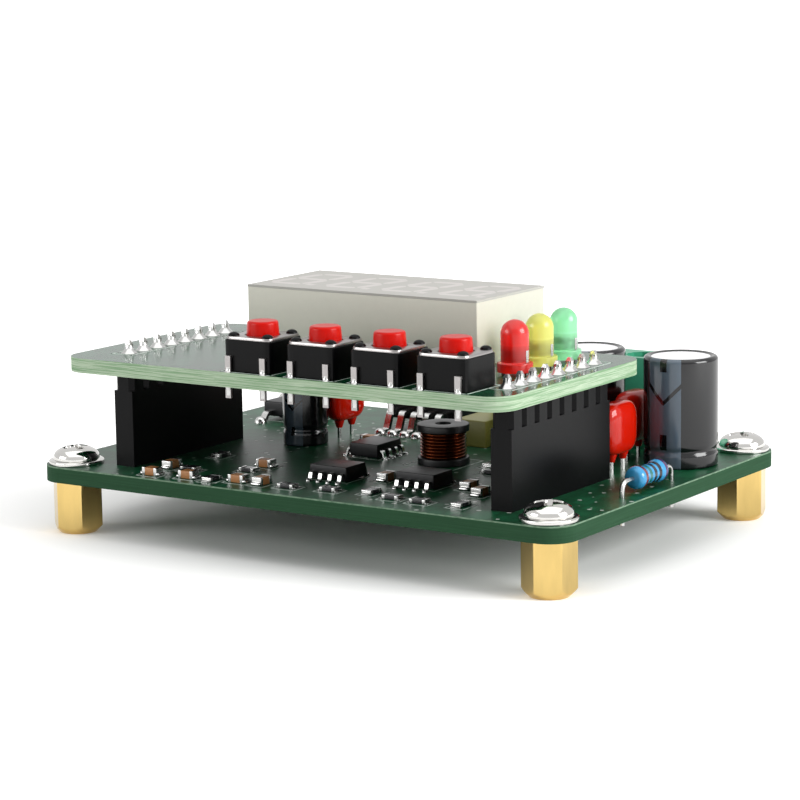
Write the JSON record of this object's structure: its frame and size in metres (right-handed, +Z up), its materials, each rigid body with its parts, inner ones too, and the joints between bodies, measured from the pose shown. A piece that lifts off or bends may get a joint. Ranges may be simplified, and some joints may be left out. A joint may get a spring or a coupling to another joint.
{
  "type": "buck converter module",
  "caption": "Two stacked circuit boards on brass standoffs: a step-down power board below, and a plugged-in display board with push buttons above.",
  "frame": {"origin": "centre of the four mounting holes, on the plane of the standoff feet", "axes": "+Z up, +X along the boards' long side, -Y towards the edge with the buttons"},
  "size_m": [0.068, 0.0497, 0.0276],
  "materials": {
    "aluminium": "bright can top",
    "black_plastic": "black moulded nylon",
    "brass": "machined brass with drawn faces",
    "ceramic_brown": "brown ceramic",
    "chip_black": "black moulding compound",
    "chrome": "bright plated steel",
    "copper": "enamelled copper wire",
    "cover_steel": "pressed bright cover",
    "display_grey": "grey printed face",
    "display_white": "off-white moulded plastic",
    "ferrite": "dark ferrite",
    "film_red": "red dipped epoxy",
    "gold": "gold flashed contact",
    "green_lens": "green tinted clear resin",
    "pcb": "green solder mask over woven glass, glossy",
    "red_lens": "red tinted clear resin",
    "red_plastic": "red moulded plastic",
    "resistor_black": "black glazed film",
    "resistor_blue": "blue lacquer with colour bands",
    "segment_white": "milky cast resin",
    "sleeve": "black shrink film with a grey stripe",
    "tantalum_yellow": "olive moulded resin",
    "terminal_green": "dark green moulded plastic",
    "tin": "tinned metal leads",
    "yellow_lens": "yellow tinted clear resin"
  },
  "bodies": {
    "module": {"capacitor_cans": "aluminium", "capacitor_leads": "tin", "capacitor_sleeves": "sleeve", "chip_bodies": "chip_black", "chip_capacitors": "ceramic_brown", "chip_leads": "tin", "chip_resistors": "resistor_black", "display_board": "pcb", "display_face": "display_grey", "display_pins": "tin", "display_segments": "segment_white", "display_shell": "display_white", "film_capacitor_1": "film_red", "film_capacitor_2": "film_red", "film_capacitor_3": "film_red", "film_capacitor_leads": "tin", "green_led_lens": "green_lens", "inductor_core": "ferrite", "inductor_winding": "copper", "led_leads": "tin", "left_header_pins": "tin", "left_pin_strip": "black_plastic", "left_socket_contacts": "gold", "left_socket_strip": "black_plastic", "power_board": "pcb", "red_led_lens": "red_lens", "regulator_body": "chip_black", "regulator_frame": "tin", "resistor_body": "resistor_blue", "resistor_leads": "tin", "right_header_pins": "tin", "right_pin_strip": "black_plastic", "right_socket_contacts": "gold", "right_socket_strip": "black_plastic", "standoff_screws": "chrome", "standoffs": "brass", "switch_base_1": "black_plastic", "switch_base_2": "black_plastic", "switch_base_3": "black_plastic", "switch_base_4": "black_plastic", "switch_cover_1": "cover_steel", "switch_cover_2": "cover_steel", "switch_cover_3": "cover_steel", "switch_cover_4": "cover_steel", "switch_domes": "cover_steel", "switch_legs": "cover_steel", "tantalum_capacitor": "tantalum_yellow", "terminal_cages": "tin", "terminal_housing": "terminal_green", "terminal_screws": "chrome", "transistor_body": "chip_black", "transistor_frame": "tin", "yellow_led_lens": "yellow_lens"},
    "button_1": {"button_1": "red_plastic"},
    "button_2": {"button_2": "red_plastic"},
    "button_3": {"button_3": "red_plastic"},
    "button_4": {"button_4": "red_plastic"}
  },
  "joints": [
    {"name": "button_1_press", "type": "slide", "parent": "module", "child": "button_1", "axis": [0, 0, -1], "range_m": [0, 0.00025], "stiffness_N_per_m": 4000, "springref_m": -0.0001},
    {"name": "button_2_press", "type": "slide", "parent": "module", "child": "button_2", "axis": [0, 0, -1], "range_m": [0, 0.00025], "stiffness_N_per_m": 4000, "springref_m": -0.0001},
    {"name": "button_3_press", "type": "slide", "parent": "module", "child": "button_3", "axis": [0, 0, -1], "range_m": [0, 0.00025], "stiffness_N_per_m": 4000, "springref_m": -0.0001},
    {"name": "button_4_press", "type": "slide", "parent": "module", "child": "button_4", "axis": [0, 0, -1], "range_m": [0, 0.00025], "stiffness_N_per_m": 4000, "springref_m": -0.0001}
  ]
}
